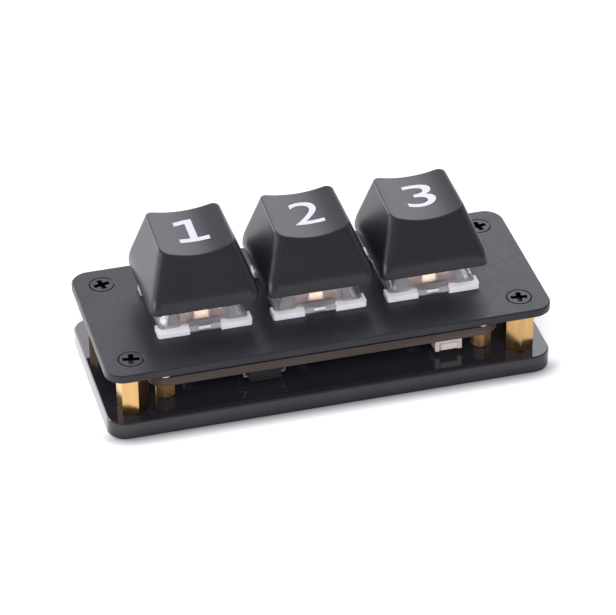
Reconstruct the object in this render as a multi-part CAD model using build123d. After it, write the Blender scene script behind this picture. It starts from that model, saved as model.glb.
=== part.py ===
from build123d import *
import math
import os

# A three-key programmable keypad. A metal switch plate and an acrylic base plate are held
# apart by brass pillars, and the circuit board sits between them, under the switches.
# Lengths are millimetres and angles degrees. The origin is the middle of the base plate's
# underside, with +X along the row of keys, +Y to the back and +Z up.

# Plates
plate_length = 73.9
plate_width = 31.0
plate_corner_radius = 3.1
plate_edge_break = 0.2
top_plate_thickness = 1.5
base_plate_thickness = 3.0

# Row of keys
key_count = 3
key_pitch = 19.05
key_row_setback = 0.8
key_travel = 4.0
switch_opening = 14.0
switch_opening_corner_radius = 0.3
switch_seat_depth = 5.0

# Circuit board
board_width = 23.1
board_end_clearance = 0.25
board_thickness = 1.6
board_corner_radius = 3.0
board_hole_inset_x = 2.9
board_hole_inset_y = 1.85

# Clearances
fit_clearance = 0.05
running_clearance = 0.2
thread_clearance = 0.03
cut_overrun = 1.0

# Brass pillars
corner_pillar_across_flats = 4.5
corner_pillar_inset_x = 4.7
corner_pillar_inset_y = 4.45
corner_pillar_turns = (39.5, 24.0, 52.0, 12.0)
board_pillar_across_flats = 3.0
board_pillar_height = 2.65
board_pillar_turns = (24.0, 34.0, 47.0, 16.0)
pillar_sides = 6
pillar_chamfer = 0.35

# Screws
screw_thread_diameter = 2.0
screw_hole_diameter = 2.3
screw_tip_chamfer = 0.25
countersink_diameter = 4.3
countersunk_head_diameter = 3.8
countersunk_head_rim = 0.2
pan_head_diameter = 3.6
pan_head_height = 1.3
pan_head_rounding = 0.8
cross_recess_length = 2.7
cross_recess_width = 0.8
cross_recess_depth = 0.7
corner_screw_turns = (-10.0, -8.4, 12.0, 11.0)
corner_screw_reach = 3.0
board_screw_reach = 1.1

# Switch housings
flange_lip = 0.8
flange_thickness = 1.0
flange_corner_radius = 0.5
housing_wall = 1.2
housing_foot_narrowing = 1.3
housing_floor_thickness = 1.6
snap_ridge_length = 4.0
snap_ridge_height = 1.0
snap_ridge_reach = 0.35
centre_post_diameter = 4.0
centre_post_length = 3.3
centre_post_chamfer = 0.3
clip_notch_width = 5.2
side_notch_length = 10.4
clip_thickness = 0.35
clip_bar_height = 0.25
clip_shoulder_height = 0.7
hook_width = 2.0
hook_height = 0.55
upper_housing_base_length = 14.8
upper_housing_base_width = 13.4
upper_housing_top_length = 10.6
upper_housing_top_width = 9.0
upper_housing_height = 5.6
upper_housing_wall = 1.0
upper_housing_corner_radius = 0.8
front_panel_width = 8.0
front_panel_recess = 0.3
stem_opening_length = 7.4
stem_opening_width = 6.1
light_window_length = 4.4
light_window_width = 2.3
light_setback = 4.75

# Switch stem
stem_cross_length = 4.0
stem_cross_bar_x = 1.17
stem_cross_bar_y = 1.29
stem_cross_height = 3.4
stem_collar_stand = 0.2
stem_body_height = 5.6
stem_shoulder_length = 8.6
stem_contact_gap = 0.4
stem_shoulder_height = 1.95
stem_pole_diameter = 2.2
stem_pole_entry = 0.2
stem_spring_well_diameter = 4.8
stem_spring_well_roof = 2.4

# Return spring
spring_wire_diameter = 0.25
spring_mean_diameter = 3.8
spring_turns = 10
spring_seat_gap = 0.03
arcs_per_turn = 4
arc_sample_shares = (0, 0.25, 0.5, 0.75)

# Switch contacts
contact_thickness = 0.2
leaf_width = 7.0
leaf_stand = 6.6
leaf_wall_clearance = 0.08
leaf_tongue_width = 2.3
leaf_tongue_slot = 0.25
leaf_tongue_bow = 0.25
leaf_tongue_height = 3.1
fixed_contact_width = 2.6
fixed_contact_stand = 5.8
contact_gap = 0.55
contact_pin_width = 1.0
contact_pin_length = 3.3
leaf_pin_x = -2.54
leaf_pin_y = -5.08
fixed_pin_x = 3.81
fixed_pin_y = -2.54
pin_hole_diameter = 1.5
solder_base_diameter = 2.2
solder_tip_diameter = 1.3
solder_height = 0.8

# Key caps
cap_gap = 1.0
cap_corner_radius = 1.5
cap_skirt_height = 1.4
cap_skirt_blend = 1.2
cap_blend_shares = (-1, -0.5, 0, 0.5, 1)
cap_rim_height = 9.0
cap_top_length = 12.2
cap_top_width = 11.8
cap_top_setback = 2.1
cap_top_corner_radius = 1.5
cap_wall = 1.3
cap_dish_depth = 1.05
cap_dish_tilt = 2.5
cap_rim_rounding = 0.35
cap_socket_diameter = 5.4
cap_ceiling_clearance = 0.35

# Memory chip
flash_body_length = 5.3
flash_body_width = 5.3
flash_body_height = 2.0
flash_edge_inset = 0.05
flash_place_x = -10.3
flash_lead_span = 7.9
flash_leads_per_side = 4
flash_lead_pitch = 1.27
flash_lead_width = 0.42
lead_thickness = 0.2
lead_foot_length = 0.7
chip_seat_gap = 0.1
chip_chamfer = 0.15

# Voltage regulator
regulator_length = 2.9
regulator_width = 1.6
regulator_height = 1.1
regulator_lead_span = 2.8
regulator_lead_pitch = 0.95
regulator_lead_width = 0.4
regulator_lead_foot = 0.35
regulator_setback = 7.6

# Other parts on the board
controller_size = 7.0
controller_height = 0.85
crystal_length = 3.2
crystal_width = 2.5
crystal_height = 0.7
crystal_corner_radius = 0.4
crystal_gap = 1.2
capacitor_length = 1.0
capacitor_width = 0.5
capacitor_height = 0.5
capacitor_gap = 0.6
capacitors_per_side = 3
resistor_length = 1.6
resistor_width = 0.8
resistor_height = 0.45
resistor_count = 3
light_length = 3.2
light_width = 1.6
light_height = 1.1

# USB port
port_length = 8.94
port_height = 3.26
port_depth = 7.35
port_wall = 0.3
port_back_wall = 0.3
port_switch_clearance = 0.1
port_tab_reach = 1.1
port_tab_width = 1.2
port_tab_thickness = 0.3
port_tab_inset = 1.0
port_block_depth = 2.0
port_tongue_length = 6.7
port_tongue_thickness = 0.7
port_tongue_reach = 4.4
port_contacts_per_side = 12
port_contact_pitch = 0.5
port_contact_width = 0.26
port_contact_length = 3.6
port_contact_thickness = 0.05

# Boot button
button_pillar_gap = 6.0
button_length = 4.5
button_depth = 3.2
button_height = 2.0
button_cheek = 0.75
button_roof = 0.35
button_pocket_depth = 1.9
button_chamfer = 0.15
plunger_depth = 1.7
plunger_height = 1.1
plunger_reach = 0.5

# Levels worked out from the sizes above
board_underside = base_plate_thickness + board_pillar_height
board_top = board_underside + board_thickness
plate_top = board_top + switch_seat_depth
plate_underside = plate_top - top_plate_thickness
plate_gap = plate_underside - base_plate_thickness
floor_top = board_top + housing_floor_thickness
flange_top = plate_top + flange_thickness
housing_top = flange_top + upper_housing_height
housing_roof = housing_top - upper_housing_wall
collar_top = housing_top + stem_collar_stand
stem_bottom = collar_top - stem_body_height
spring_roof = collar_top - stem_spring_well_roof
cap_bottom = flange_top + key_travel + running_clearance
cap_ceiling = housing_top + key_travel + cap_ceiling_clearance
board_front = key_row_setback - board_width / 2
board_back = key_row_setback + board_width / 2
port_back = key_row_setback + switch_opening / 2 + port_switch_clearance
port_mouth = port_back + port_depth
port_centre = board_underside + board_thickness / 2


def row_steps(count, pitch):
    """Evenly spaced places along a row that is centred on zero."""
    return [(i - (count - 1) / 2) * pitch for i in range(count)]


def across_corners(across_flats):
    """A hexagonal pillar's size over its corners."""
    return across_flats / math.cos(math.pi / pillar_sides)


def upper_housing_plan(level, inset=0):
    """The upper housing's plan at a level, drawn in by an inset on each side."""
    rise_share = (level - flange_top) / upper_housing_height
    length = upper_housing_base_length + rise_share * (upper_housing_top_length - upper_housing_base_length)
    width = upper_housing_base_width + rise_share * (upper_housing_top_width - upper_housing_base_width)
    return (length - 2 * inset, width - 2 * inset, upper_housing_corner_radius, 0)


# Places worked out from the sizes above
key_places = [(step, key_row_setback) for step in row_steps(key_count, key_pitch)]
corner_x = plate_length / 2 - corner_pillar_inset_x
corner_y = plate_width / 2 - corner_pillar_inset_y
corner_places = [(-corner_x, -corner_y), (corner_x, -corner_y), (-corner_x, corner_y), (corner_x, corner_y)]
board_length = 2 * (corner_x - across_corners(corner_pillar_across_flats) / 2 - board_end_clearance)
board_hole_x = board_length / 2 - board_hole_inset_x
board_hole_y = board_width / 2 - board_hole_inset_y
board_hole_places = [
    (side * board_hole_x, key_row_setback + end * board_hole_y) for end in (-1, 1) for side in (-1, 1)
]
button_place_x = board_hole_x - button_pillar_gap
key_gap_middle = key_pitch / 2
leaf_room = upper_housing_plan(floor_top + leaf_stand, upper_housing_wall)[1] / 2
leaf_setback = leaf_room - leaf_wall_clearance - leaf_tongue_bow - contact_thickness / 2
fixed_contact_setback = leaf_setback - contact_gap
stem_shoulder_width = 2 * (fixed_contact_setback - contact_thickness / 2 - stem_contact_gap)


def block(length, width, low, high, x=0, y=0):
    """A box of the given plan, centred on (x, y), between two levels."""
    return Pos(x, y, (low + high) / 2) * Box(length, width, high - low)


def post(diameter, low, high, x=0, y=0):
    """A round post centred on (x, y), between two levels."""
    return Pos(x, y, (low + high) / 2) * Cylinder(diameter / 2, high - low)


def slab(length, width, radius, low, high, x=0, y=0):
    """A plate with rounded corners, centred on (x, y), between two levels."""
    return Pos(x, y, low) * extrude(RectangleRounded(length, width, radius), high - low)


def plan_at(level, plan):
    """A plan set at a level. A plan is (length, width, corner radius, setback)."""
    length, width, radius, setback = plan
    return Pos(0, setback, level) * RectangleRounded(length, width, radius)


def tapered(low, low_plan, high, high_plan):
    """A four-sided taper between two plans."""
    return loft([plan_at(low, low_plan), plan_at(high, high_plan)])


def turned(profile):
    """A solid of revolution about Z from (radius, height) points."""
    return revolve(Plane.XZ * make_face(Polyline(*profile, close=True)), Axis.Z)


def cross_recess(top):
    """The cutter of a screw's cross recess, open at the given level."""
    low = top - cross_recess_depth
    high = top + cut_overrun
    return block(cross_recess_length, cross_recess_width, low, high) + block(
        cross_recess_width, cross_recess_length, low, high
    )


def countersunk_screw(grip):
    """A countersunk screw, head up, for a plate face at zero. Grip is its depth below the face."""
    head_radius = countersunk_head_diameter / 2
    shank_radius = screw_thread_diameter / 2 - thread_clearance
    cone_start = thread_clearance - (countersink_diameter - countersunk_head_diameter) / 2
    head_top = cone_start + countersunk_head_rim
    profile = [
        (0, head_top),
        (head_radius, head_top),
        (head_radius, cone_start),
        (shank_radius, cone_start - (head_radius - shank_radius)),
        (shank_radius, -grip + screw_tip_chamfer),
        (shank_radius - screw_tip_chamfer, -grip),
        (0, -grip),
    ]
    return turned(profile) - cross_recess(head_top)


def pan_head_screw(grip):
    """A pan-head screw, head up, for a board face at zero. Grip is its depth below the face."""
    head = post(pan_head_diameter, 0, pan_head_height)
    head = fillet(head.edges().sort_by(Axis.Z)[-1], pan_head_rounding)
    shank_diameter = screw_thread_diameter - 2 * thread_clearance
    shank = post(shank_diameter, -grip, 0)
    shank = chamfer(shank.edges().sort_by(Axis.Z)[0], screw_tip_chamfer)
    return head + shank - cross_recess(pan_head_height)


def countersunk_hole(depth):
    """The cutter of a countersunk hole, mouth up at zero, for a plate of the given depth."""
    sink_radius = countersink_diameter / 2
    hole_radius = screw_hole_diameter / 2
    profile = [
        (0, cut_overrun),
        (sink_radius, cut_overrun),
        (sink_radius, 0),
        (hole_radius, hole_radius - sink_radius),
        (hole_radius, -depth - cut_overrun),
        (0, -depth - cut_overrun),
    ]
    return turned(profile)


def face_down(shape):
    """Turn a shape that was made mouth up to face the floor."""
    return Rot(180, 0, 0) * shape


def plate_blank(low, thickness):
    """A plate's outline with its two outer edges broken."""
    blank = slab(plate_length, plate_width, plate_corner_radius, low, low + thickness)
    faces = blank.faces().sort_by(Axis.Z)
    return chamfer(faces[0].edges() + faces[-1].edges(), plate_edge_break)


def make_top_plate():
    plate = plate_blank(plate_underside, top_plate_thickness)
    low = plate_underside - cut_overrun
    high = plate_top + cut_overrun
    for x, y in key_places:
        plate -= slab(switch_opening, switch_opening, switch_opening_corner_radius, low, high, x, y)
    for x, y in corner_places:
        plate -= Pos(x, y, plate_top) * countersunk_hole(top_plate_thickness)
    return plate


def make_base_plate():
    plate = plate_blank(0, base_plate_thickness)
    for x, y in corner_places + board_hole_places:
        plate -= Pos(x, y, 0) * face_down(countersunk_hole(base_plate_thickness))
    return plate


def make_circuit_board():
    board = slab(
        board_length, board_width, board_corner_radius, board_underside, board_top, 0, key_row_setback
    )
    low = board_underside - cut_overrun
    high = board_top + cut_overrun
    for x, y in board_hole_places:
        board -= post(screw_hole_diameter, low, high, x, y)
    for x, y in key_places:
        board -= post(centre_post_diameter + 2 * fit_clearance, low, high, x, y)
        board -= post(pin_hole_diameter, low, high, x + leaf_pin_x, y + leaf_pin_y)
        board -= post(pin_hole_diameter, low, high, x + fixed_pin_x, y + fixed_pin_y)
    notch_length = port_length + 2 * fit_clearance
    notch_front = port_back - fit_clearance
    notch_back = board_back + cut_overrun
    notch_middle = (notch_front + notch_back) / 2
    return board - block(notch_length, notch_back - notch_front, low, high, 0, notch_middle)


def hexagonal_pillar(across_flats, height, turn):
    """A tapped hexagonal pillar standing on zero, with turned-down ends."""
    hexagon = RegularPolygon(across_flats / 2, pillar_sides, major_radius=False)
    turned_ends = post(across_corners(across_flats), 0, height)
    turned_ends = chamfer(turned_ends.edges().filter_by(GeomType.CIRCLE), pillar_chamfer)
    pillar = extrude(hexagon, height) & turned_ends
    thread = post(screw_thread_diameter, -cut_overrun, height + cut_overrun)
    return Rot(0, 0, turn) * (pillar - thread)


def pillars_at(places, turns, across_flats, height):
    """Pillars of one size standing on the base plate."""
    return [
        Pos(x, y, base_plate_thickness) * hexagonal_pillar(across_flats, height, turn)
        for (x, y), turn in zip(places, turns)
    ]


def make_corner_pillars():
    return pillars_at(corner_places, corner_pillar_turns, corner_pillar_across_flats, plate_gap)


def make_board_pillars():
    return pillars_at(board_hole_places, board_pillar_turns, board_pillar_across_flats, board_pillar_height)


def make_top_plate_screws():
    screw = countersunk_screw(top_plate_thickness + corner_screw_reach)
    return [
        Pos(x, y, plate_top) * Rot(0, 0, turn) * screw
        for (x, y), turn in zip(corner_places, corner_screw_turns)
    ]


def make_base_plate_screws():
    screw = face_down(countersunk_screw(base_plate_thickness + corner_screw_reach))
    return [Pos(x, y, 0) * screw for x, y in corner_places]


def make_board_pillar_screws():
    screw = face_down(countersunk_screw(base_plate_thickness + board_screw_reach))
    return [Pos(x, y, 0) * screw for x, y in board_hole_places]


def make_board_screws():
    screw = pan_head_screw(board_thickness + board_screw_reach)
    return [Pos(x, y, board_top) * screw for x, y in board_hole_places]


def snap_ridge(half_opening):
    """The wedge that catches under the plate on a housing's +X side."""
    top = plate_underside - fit_clearance
    wall = half_opening - housing_wall / 2
    profile = Polyline(
        (wall, 0, top),
        (half_opening + snap_ridge_reach, 0, top),
        (half_opening, 0, top - snap_ridge_height),
        (wall, 0, top - snap_ridge_height),
        close=True,
    )
    return extrude(make_face(profile), snap_ridge_length / 2, dir=(0, 1, 0), both=True)


def make_lower_housing():
    """The white lower half of a switch, centred on the key's axis."""
    outer = switch_opening - 2 * fit_clearance
    foot = outer - housing_foot_narrowing
    taper_top = plate_underside - snap_ridge_height - 2 * fit_clearance
    flange_size = switch_opening + 2 * flange_lip
    housing = slab(flange_size, flange_size, flange_corner_radius, plate_top, flange_top)
    housing += slab(outer, outer, switch_opening_corner_radius, taper_top, plate_top)
    corner = switch_opening_corner_radius
    housing += tapered(board_top, (foot, foot, corner, 0), taper_top, (outer, outer, corner, 0))
    ridge = snap_ridge(outer / 2)
    housing += ridge + Rot(0, 0, 180) * ridge
    post_end = board_top - centre_post_length
    centre_post = post(centre_post_diameter, post_end, board_top)
    housing += chamfer(centre_post.edges().sort_by(Axis.Z)[0], centre_post_chamfer)
    inner = outer - 2 * housing_wall
    housing -= block(inner, inner, floor_top, flange_top + cut_overrun)
    bore_end = floor_top - stem_pole_entry - key_travel - running_clearance
    housing -= post(stem_pole_diameter + 2 * running_clearance, bore_end, floor_top + cut_overrun)
    notch_depth = (flange_size - outer) / 2
    notch_middle = outer / 2 + notch_depth / 2
    notch_low = plate_top - cut_overrun
    notch_high = flange_top + cut_overrun
    hook_low = plate_top + clip_bar_height + 2 * fit_clearance
    hook_high = hook_low + hook_height
    for side in (-1, 1):
        housing -= block(clip_notch_width, notch_depth, notch_low, notch_high, 0, side * notch_middle)
        housing -= block(notch_depth, side_notch_length, notch_low, notch_high, side * notch_middle, 0)
        housing += block(hook_width, 2 * clip_thickness, hook_low, hook_high, 0, side * outer / 2)
    pin_slot = contact_pin_width + 2 * fit_clearance
    slot_width = contact_thickness + 2 * fit_clearance
    floor_cut_low = board_top - cut_overrun
    floor_cut_high = floor_top + cut_overrun
    for x, y in ((leaf_pin_x, leaf_pin_y), (fixed_pin_x, fixed_pin_y)):
        housing -= block(pin_slot, slot_width, floor_cut_low, floor_cut_high, x, y)
    return housing - block(
        light_window_length, light_window_width, floor_cut_low, floor_cut_high, 0, light_setback
    )


def housing_clip():
    """The loop that hooks over the lower housing's front catch, on the -Y side."""
    outer_wall = switch_opening / 2
    length = clip_notch_width - 2 * fit_clearance
    low = plate_top + fit_clearance
    high = flange_top + clip_shoulder_height
    loop = block(length, clip_thickness, low, high, 0, -outer_wall - clip_thickness / 2)
    inner_face = upper_housing_plan(high, upper_housing_wall)[1] / 2
    shoulder_depth = outer_wall - inner_face
    loop += block(length, shoulder_depth, flange_top, high, 0, -inner_face - shoulder_depth / 2)
    window_low = plate_top + clip_bar_height + fit_clearance
    window_length = hook_width + 2 * fit_clearance
    return loop - block(
        window_length, clip_thickness, window_low, flange_top, 0, -outer_wall - clip_thickness / 2
    )


def make_upper_housing():
    """The clear upper half of a switch, centred on the key's axis."""
    low_plan = upper_housing_plan(flange_top)
    high_plan = upper_housing_plan(housing_top)
    shell = tapered(flange_top, low_plan, housing_top, high_plan)
    front_low = low_plan[1] / 2
    front_high = high_plan[1] / 2
    recess = Polyline(
        (0, -front_low - front_panel_recess, flange_top),
        (0, -front_low + front_panel_recess, flange_top),
        (0, -front_high + front_panel_recess, housing_top),
        (0, -front_high - front_panel_recess, housing_top),
        close=True,
    )
    shell -= extrude(make_face(recess), front_panel_width / 2, dir=(1, 0, 0), both=True)
    clip = housing_clip()
    shell += clip + Rot(0, 0, 180) * clip
    shell -= tapered(
        flange_top, upper_housing_plan(flange_top, upper_housing_wall),
        housing_roof, upper_housing_plan(housing_roof, upper_housing_wall),
    )
    opening_low = housing_roof - cut_overrun
    opening_high = housing_top + cut_overrun
    return shell - block(stem_opening_length, stem_opening_width, opening_low, opening_high)


def make_stem():
    """The sliding stem: cross, collar, stop shoulder, spring well and guide pole."""
    collar_length = stem_opening_length - 2 * running_clearance
    collar_width = stem_opening_width - 2 * running_clearance
    shoulder_top = housing_roof - fit_clearance
    shoulder_low = shoulder_top - stem_shoulder_height
    stem = block(collar_length, collar_width, stem_bottom, collar_top)
    stem += block(stem_shoulder_length, stem_shoulder_width, shoulder_low, shoulder_top)
    stem -= post(stem_spring_well_diameter, stem_bottom - cut_overrun, spring_roof)
    pole_end = floor_top - stem_pole_entry
    stem += post(stem_pole_diameter, pole_end, spring_roof)
    cross_top = collar_top + stem_cross_height
    stem += block(stem_cross_length, stem_cross_bar_x, collar_top, cross_top)
    return stem + block(stem_cross_bar_y, stem_cross_length, collar_top, cross_top)


def helix_point(radius, pitch, turn, low):
    """A point on a helix after a number of turns."""
    angle = 2 * math.pi * turn
    return Vector(radius * math.cos(angle), radius * math.sin(angle), low + pitch * turn)


def helix_direction(radius, pitch, turn):
    """The helix's unit tangent after a number of turns."""
    angle = 2 * math.pi * turn
    girth = 2 * math.pi * radius
    return Vector(-girth * math.sin(angle), girth * math.cos(angle), pitch).normalized()


def biarc(start, start_direction, end, end_direction):
    """Two tangent arcs that join two points with given directions."""
    chord = end - start
    both = start_direction + end_direction
    bend = 2 * (1 - start_direction.dot(end_direction))
    along = chord.dot(both)
    reach = (math.sqrt(along**2 + bend * chord.dot(chord)) - along) / bend
    middle = (start + end + (start_direction - end_direction) * reach) / 2
    first = TangentArc(start, middle, tangent=start_direction)
    return [first, TangentArc(middle, end, tangent=first % 1)]


def make_spring():
    """The return spring between the housing's floor and the stem's well, as one round wire."""
    radius = spring_mean_diameter / 2
    margin = spring_wire_diameter / 2 + spring_seat_gap
    low = floor_top + margin
    high = spring_roof - margin
    pitch = (high - low) / spring_turns
    steps = [i / arcs_per_turn for i in range(spring_turns * arcs_per_turn + 1)]
    path = []
    for first, second in zip(steps, steps[1:]):
        path += biarc(
            helix_point(radius, pitch, first, low),
            helix_direction(radius, pitch, first),
            helix_point(radius, pitch, second, low),
            helix_direction(radius, pitch, second),
        )
    start = Plane(origin=helix_point(radius, pitch, 0, low), z_dir=helix_direction(radius, pitch, 0))
    wire = Wire(path)
    spring = sweep(start * Circle(spring_wire_diameter / 2), path=wire)
    points = [edge @ share for edge in path for share in arc_sample_shares]
    points_per_half_turn = len(points) // (2 * spring_turns)
    gaps = [
        (points[i] - points[j]).length - spring_wire_diameter
        for i in range(len(points))
        for j in range(i + points_per_half_turn, min(i + 3 * points_per_half_turn, len(points)))
    ]
    print("spring least gap to itself", round(min(gaps), 3), "pitch", round(pitch, 3))
    section = math.pi * (spring_wire_diameter / 2) ** 2
    print("spring volume", round(spring.volume, 4), "section times length", round(section * wire.length, 4))
    return spring


def contact_pin(x, y):
    """A contact's pin through the housing's floor and the board."""
    return block(contact_pin_width, contact_thickness, board_top - contact_pin_length, floor_top, x, y)


def contact_foot(x, pin_y, plate_y):
    """The foot that joins a contact's pin to its upright plate, lying on the housing's floor."""
    depth = abs(pin_y - plate_y) + contact_thickness
    high = floor_top + contact_thickness
    return block(contact_pin_width, depth, floor_top, high, x, (pin_y + plate_y) / 2)


def make_contact_leaf():
    """The springy contact: a wide plate whose middle tongue is bowed forwards."""
    leaf = block(leaf_width, contact_thickness, floor_top, floor_top + leaf_stand, 0, -leaf_setback)
    tongue_top = floor_top + leaf_stand
    tongue_low = tongue_top - leaf_tongue_height
    slot = leaf_tongue_width + 2 * leaf_tongue_slot
    leaf -= block(slot, 2 * contact_thickness, tongue_low, tongue_top + cut_overrun, 0, -leaf_setback)
    bridge_low = tongue_low - contact_thickness
    bridge_depth = leaf_tongue_bow + contact_thickness
    bridge_y = -leaf_setback - leaf_tongue_bow / 2
    tongue_y = -leaf_setback - leaf_tongue_bow
    leaf += block(leaf_tongue_width, contact_thickness, bridge_low, tongue_top, 0, tongue_y)
    leaf += block(leaf_tongue_width, bridge_depth, bridge_low, tongue_low, 0, bridge_y)
    leaf += contact_foot(leaf_pin_x, leaf_pin_y, -leaf_setback)
    return leaf + contact_pin(leaf_pin_x, leaf_pin_y)


def make_fixed_contact():
    """The fixed contact behind the leaf."""
    x = fixed_pin_x + contact_pin_width / 2 - fixed_contact_width / 2
    y = -fixed_contact_setback
    high = floor_top + fixed_contact_stand
    contact = block(fixed_contact_width, contact_thickness, floor_top, high, x, y)
    contact += contact_foot(fixed_pin_x, fixed_pin_y, y)
    return contact + contact_pin(fixed_pin_x, fixed_pin_y)


def cap_plan(height, inset=0):
    """A key cap's plan at a height above its lower edge, drawn in by an inset on each side."""
    base = key_pitch - cap_gap
    rise_share = (height - cap_skirt_height) / (cap_rim_height - cap_skirt_height)
    length = base + rise_share * (cap_top_length - base)
    width = base + rise_share * (cap_top_width - base)
    radius = cap_corner_radius + rise_share * (cap_top_corner_radius - cap_corner_radius)
    return (length - 2 * inset, width - 2 * inset, radius, rise_share * cap_top_setback)


def cap_outer_form(top):
    """A key cap's outer form, whose upright skirt curves into the taper above it."""
    blend_low = cap_skirt_height - cap_skirt_blend
    plans = {0: cap_plan(cap_skirt_height)}
    for share in cap_blend_shares:
        height = cap_skirt_height + share * cap_skirt_blend
        plans[height] = cap_plan(cap_skirt_height + (height - blend_low) ** 2 / (4 * cap_skirt_blend))
    skirt = loft([plan_at(height, plan) for height, plan in plans.items()])
    return skirt + tapered(height, plans[height], top, cap_plan(top))


def cap_inner_form(top):
    """A key cap's hollow: an upright skirt and the taper above it."""
    plan = cap_plan(cap_skirt_height, cap_wall)
    length, width, radius, setback = plan
    skirt = slab(length, width, radius, 0, cap_skirt_height, 0, setback)
    return skirt + tapered(cap_skirt_height, plan, top, cap_plan(top, cap_wall))


def make_keycap():
    """A sculpted key cap, centred on the key's axis."""
    cap = cap_outer_form(cap_rim_height + cut_overrun)
    half = cap_top_length / 2
    dish_radius = (half**2 + cap_dish_depth**2) / (2 * cap_dish_depth)
    dish = Rot(90, 0, 0) * Cylinder(dish_radius, 2 * key_pitch)
    rim_middle = Pos(0, cap_top_setback, cap_rim_height)
    cap -= rim_middle * Rot(cap_dish_tilt, 0, 0) * Pos(0, 0, dish_radius - cap_dish_depth) * dish
    rim = [edge for edge in cap.edges() if edge.center().Z > cap_rim_height - 2 * cap_dish_depth]
    cap = fillet(rim, cap_rim_rounding)
    cap -= cap_inner_form(cap_ceiling - cap_bottom)
    cap = Pos(0, 0, cap_bottom) * cap
    socket_low = collar_top + fit_clearance
    socket = post(cap_socket_diameter, socket_low, cap_ceiling)
    cross_high = collar_top + stem_cross_height + fit_clearance
    arm = stem_cross_length + 2 * fit_clearance
    socket -= block(arm, stem_cross_bar_x + 2 * fit_clearance, socket_low - cut_overrun, cross_high)
    socket -= block(stem_cross_bar_y + 2 * fit_clearance, arm, socket_low - cut_overrun, cross_high)
    return cap + socket


def make_solder_joints():
    """A small cone of solder round each switch pin, under the board."""
    joint = Pos(0, 0, board_underside - solder_height / 2) * Cone(
        solder_tip_diameter / 2, solder_base_diameter / 2, solder_height
    )
    joint -= block(contact_pin_width, contact_thickness, board_underside - 2 * solder_height, board_top)
    pins = ((leaf_pin_x, leaf_pin_y), (fixed_pin_x, fixed_pin_y))
    return [Pos(x + pin_x, y + pin_y, 0) * joint for x, y in key_places for pin_x, pin_y in pins]


def gull_lead(body_half, span_half, foot_length, width, shoulder_level):
    """One gull-wing lead on a chip's +X side: foot on the board, riser and shoulder."""
    foot_inner = span_half - foot_length
    foot_top = board_underside - lead_thickness
    lead = block(foot_length, width, foot_top, board_underside, span_half - foot_length / 2)
    riser_x = foot_inner + lead_thickness / 2
    lead += block(lead_thickness, width, shoulder_level - lead_thickness / 2, board_underside, riser_x)
    shoulder_length = foot_inner + lead_thickness - body_half
    return lead + block(
        shoulder_length, width, shoulder_level - lead_thickness / 2, shoulder_level + lead_thickness / 2,
        body_half + shoulder_length / 2,
    )


def chip_body(length, width, height):
    """A moulded chip hanging just under the board, with its lower edges broken."""
    top = board_underside - chip_seat_gap
    body = block(length, width, top - height, top)
    return chamfer(body.faces().sort_by(Axis.Z)[0].edges(), chip_chamfer)


def flash_place():
    """The memory chip's place, with its front just behind the board's front edge."""
    return Pos(flash_place_x, board_front + flash_edge_inset + flash_body_width / 2, 0)


def make_flash_chip():
    return flash_place() * chip_body(flash_body_length, flash_body_width, flash_body_height)


def make_flash_chip_leads():
    shoulder = board_underside - chip_seat_gap - flash_body_height / 2
    lead = gull_lead(
        flash_body_length / 2, flash_lead_span / 2, lead_foot_length, flash_lead_width, shoulder
    )
    steps = row_steps(flash_leads_per_side, flash_lead_pitch)
    return [flash_place() * Rot(0, 0, turn) * Pos(0, step, 0) * lead for turn in (0, 180) for step in steps]


def regulator_place():
    """The regulator's place, behind the gap between the last two keys."""
    return Pos(key_gap_middle, key_row_setback + regulator_setback, 0)


def make_voltage_regulator():
    return regulator_place() * chip_body(regulator_width, regulator_length, regulator_height)


def make_regulator_leads():
    shoulder = board_underside - chip_seat_gap - regulator_height / 2
    lead = gull_lead(
        regulator_width / 2, regulator_lead_span / 2, regulator_lead_foot, regulator_lead_width, shoulder
    )
    places = [(0, -1), (0, 0), (0, 1), (180, -1), (180, 1)]
    return [
        regulator_place() * Rot(0, 0, turn) * Pos(0, step * regulator_lead_pitch, 0) * lead
        for turn, step in places
    ]


def make_controller():
    body = block(controller_size, controller_size, board_underside - controller_height, board_underside)
    body = chamfer(body.faces().sort_by(Axis.Z)[0].edges(), chip_chamfer)
    return Pos(-key_gap_middle, key_row_setback, 0) * body


def make_crystal():
    setback = controller_size / 2 + crystal_gap + crystal_width / 2
    low = board_underside - crystal_height
    can = slab(crystal_length, crystal_width, crystal_corner_radius, low, board_underside)
    return Pos(-key_gap_middle, key_row_setback + setback, 0) * can


def make_chip_capacitors():
    """Rows of small capacitors on both sides of the controller."""
    low = board_underside - capacitor_height
    capacitor = block(capacitor_width, capacitor_length, low, board_underside)
    reach = controller_size / 2 + capacitor_gap + capacitor_width / 2
    return [
        Pos(-key_gap_middle + side * reach, key_row_setback + step, 0) * capacitor
        for side in (-1, 1)
        for step in row_steps(capacitors_per_side, controller_size / capacitors_per_side)
    ]


def make_chip_resistors():
    """A row of resistors between the last two keys."""
    resistor = block(resistor_length, resistor_width, board_underside - resistor_height, board_underside)
    steps = row_steps(resistor_count, 2 * resistor_width)
    return [Pos(key_gap_middle, key_row_setback + step, 0) * resistor for step in steps]


def make_key_lights():
    light = block(light_length, light_width, board_top, board_top + light_height)
    return [Pos(x, y + light_setback, 0) * light for x, y in key_places]


def port_form(inset, front, back):
    """The port's rounded form, drawn in by an inset, between two depths."""
    height = port_height - 2 * inset
    section = SlotOverall(port_length - 2 * inset, height)
    return Pos(0, back, port_centre) * extrude(Plane.XZ * section, back - front)


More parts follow.
